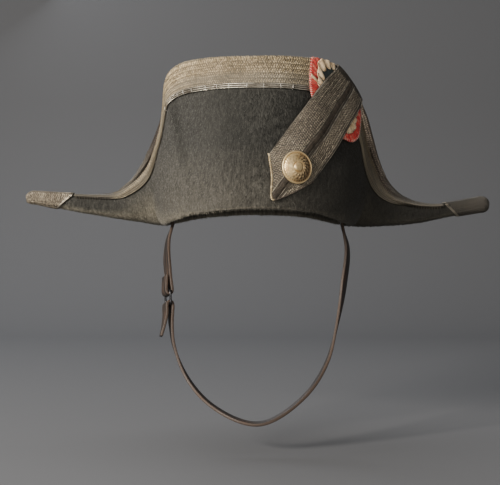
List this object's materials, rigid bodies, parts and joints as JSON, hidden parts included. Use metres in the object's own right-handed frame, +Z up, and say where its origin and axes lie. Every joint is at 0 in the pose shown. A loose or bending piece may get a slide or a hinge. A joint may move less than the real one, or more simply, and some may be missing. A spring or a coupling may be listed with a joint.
{
  "type": "bicorne hat with chin strap",
  "caption": "Stiff felt bicorne worn athwart, edges bound in metallic braid, with a pleated cockade under a buttoned braid loop and a buckled leather chin strap.",
  "frame": {"origin": "centre of the headline, the oval where the hat sits on a head", "axes": "+Z up along the worn head, -Y towards the front flap, +X towards the wearer's left horn, where the cockade is"},
  "size_m": [0.4168, 0.2114, 0.3164],
  "materials": {
    "black_felt": "worn black plush felt, short nap brushed upwards",
    "tarnished_galloon": "flat silver braid in herringbone weave, tarnished",
    "cockade_ribbon": "gathered ribbon, red outside, cream ring, dark centre",
    "aged_brass": "stamped and tarnished",
    "dark_leather": "dark brown, lighter worn edges",
    "black_iron": "black lacquered wire"
  },
  "bodies": {
    "root": {"brim": "black_felt", "crown": "black_felt", "galloon_front": "tarnished_galloon", "galloon_rear": "tarnished_galloon", "tip_left": "tarnished_galloon", "tip_right": "tarnished_galloon", "cockade": "cockade_ribbon", "cockade_loop": "tarnished_galloon", "button": "aged_brass", "strap_long": "dark_leather", "strap_short": "dark_leather", "strap_buckle": "black_iron"}
  },
  "joints": []
}
